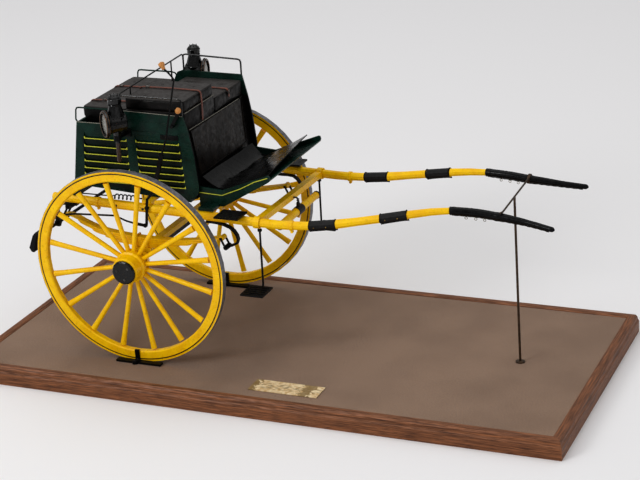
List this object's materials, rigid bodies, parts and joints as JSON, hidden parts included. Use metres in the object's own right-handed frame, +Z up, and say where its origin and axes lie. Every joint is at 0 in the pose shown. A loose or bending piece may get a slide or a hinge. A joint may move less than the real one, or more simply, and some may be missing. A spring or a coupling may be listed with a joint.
{
  "type": "model tandem cart",
  "caption": "Model horse-drawn gig with spoked wheels, louvred sides, back-to-back seats, lamps, hand brake and bent shafts, on a moulded display board",
  "frame": {"origin": "middle of the display board's underside", "axes": "+X points to the shaft tips along the board's long side, +Y to the cart's left side, +Z up"},
  "size_m": [0.736, 0.356, 0.3816],
  "materials": {
    "cloth": "taupe cloth glued over a board",
    "mahogany": "varnished red-brown wood",
    "brass": "darkened brass",
    "bronze": "brown bronzed rod",
    "yellow": "yellow enamel",
    "green": "dark green enamel",
    "black_iron": "black painted iron",
    "tyre_iron": "worn bare iron",
    "leather": "black leather",
    "black_enamel": "gloss black enamel",
    "lamp_glass": "clear glass"
  },
  "bodies": {
    "cart": {"axle": "black_iron", "axle_bed": "yellow", "base_moulding": "mahogany", "base_panel": "cloth", "body_bearer": "yellow", "body_floor": "green", "driver_cushion": "leather", "driver_riser": "leather", "far_body_side": "green", "far_front_hanger": "black_iron", "far_hanging_step": "black_iron", "far_lamp_bracket": "black_enamel", "far_rear_hanger": "black_iron", "far_shaft": "yellow", "far_spring": "yellow", "far_step_plate": "leather", "far_tip_sheath": "leather", "far_wheel_clip": "black_iron", "floor_mat": "leather", "footboard": "green", "front_apron": "leather", "front_crossbar": "yellow", "front_panel": "green", "near_body_side": "green", "near_front_hanger": "black_iron", "near_hanging_step": "black_iron", "near_lamp_bracket": "black_enamel", "near_rear_hanger": "black_iron", "near_shaft": "yellow", "near_spring": "yellow", "near_step_plate": "leather", "near_tip_sheath": "leather", "near_wheel_clip": "black_iron", "passenger_cushion": "leather", "plaque": "brass", "prop_stand": "bronze", "rear_cushion": "leather", "return_spring": "black_iron", "seat_board": "green", "seat_rail": "black_enamel"},
    "near_wheel": {"near_nave": "yellow", "near_spokes": "yellow", "near_felloe": "yellow", "near_tyre": "tyre_iron", "near_hub_cap": "black_enamel"},
    "far_wheel": {"far_nave": "yellow", "far_spokes": "yellow", "far_felloe": "yellow", "far_tyre": "tyre_iron", "far_hub_cap": "black_enamel"},
    "near_lamp": {"near_lamp_body": "black_enamel", "near_lamp_lens": "lamp_glass"},
    "far_lamp": {"far_lamp_body": "black_enamel", "far_lamp_lens": "lamp_glass"},
    "brake_lever": {"brake_lever": "black_iron"},
    "brake_rod": {"brake_rod": "black_iron"},
    "brake_beam": {"brake_beam": "black_iron"},
    "catch_lever": {"catch_lever": "black_iron"},
    "swingletree": {"swingletree": "yellow"},
    "tailboard": {"tailboard": "green"}
  },
  "joints": [
    {"name": "near_wheel_spin", "type": "hinge", "parent": "cart", "child": "near_wheel", "pos_m": [-0.163, -0.1142, 0.14136], "axis": [0, 0.9987, 0.0504], "continuous": true},
    {"name": "far_wheel_spin", "type": "hinge", "parent": "cart", "child": "far_wheel", "pos_m": [-0.163, 0.1492, 0.14136], "axis": [0, 0.9987, -0.0504], "continuous": true},
    {"name": "near_lamp_turn", "type": "hinge", "parent": "cart", "child": "near_lamp", "pos_m": [-0.1788, -0.0885, 0.3074], "axis": [0, 0, 1], "continuous": true},
    {"name": "far_lamp_turn", "type": "hinge", "parent": "cart", "child": "far_lamp", "pos_m": [-0.1803, 0.1235, 0.31], "axis": [0, 0, 1], "continuous": true},
    {"name": "hand_brake", "type": "hinge", "parent": "cart", "child": "brake_lever", "pos_m": [-0.1512, -0.0841, 0.2044], "axis": [0, 1, 0], "range_deg": [0, 3.9]},
    {"name": "brake_rod_slide", "type": "slide", "parent": "cart", "child": "brake_rod", "axis": [1, 0, 0], "range_m": [-0.0016, 0.0001]},
    {"name": "brake_beam_turn", "type": "hinge", "parent": "cart", "child": "brake_beam", "pos_m": [-0.2765, 0.0175, 0.1725], "axis": [0, -1, 0], "range_deg": [-0.1, 7]},
    {"name": "catch_turn", "type": "hinge", "parent": "cart", "child": "catch_lever", "pos_m": [-0.1175, -0.07, 0.3015], "axis": [0, 1, 0], "range_deg": [-20, 20]},
    {"name": "swingletree_swing", "type": "hinge", "parent": "cart", "child": "swingletree", "pos_m": [-0.0041, 0.0175, 0.1795], "axis": [0, 0, 1], "range_deg": [-15, 15]},
    {"name": "tailboard_drop", "type": "hinge", "parent": "cart", "child": "tailboard", "pos_m": [-0.2542, 0.0175, 0.225], "axis": [0, -1, 0], "range_deg": [0, 85]}
  ],
  "couplings": [
    {"joint": "brake_rod_slide", "follows": "hand_brake", "m_per_rad": -0.0204},
    {"joint": "brake_beam_turn", "follows": "hand_brake", "ratio": 1.7739}
  ]
}
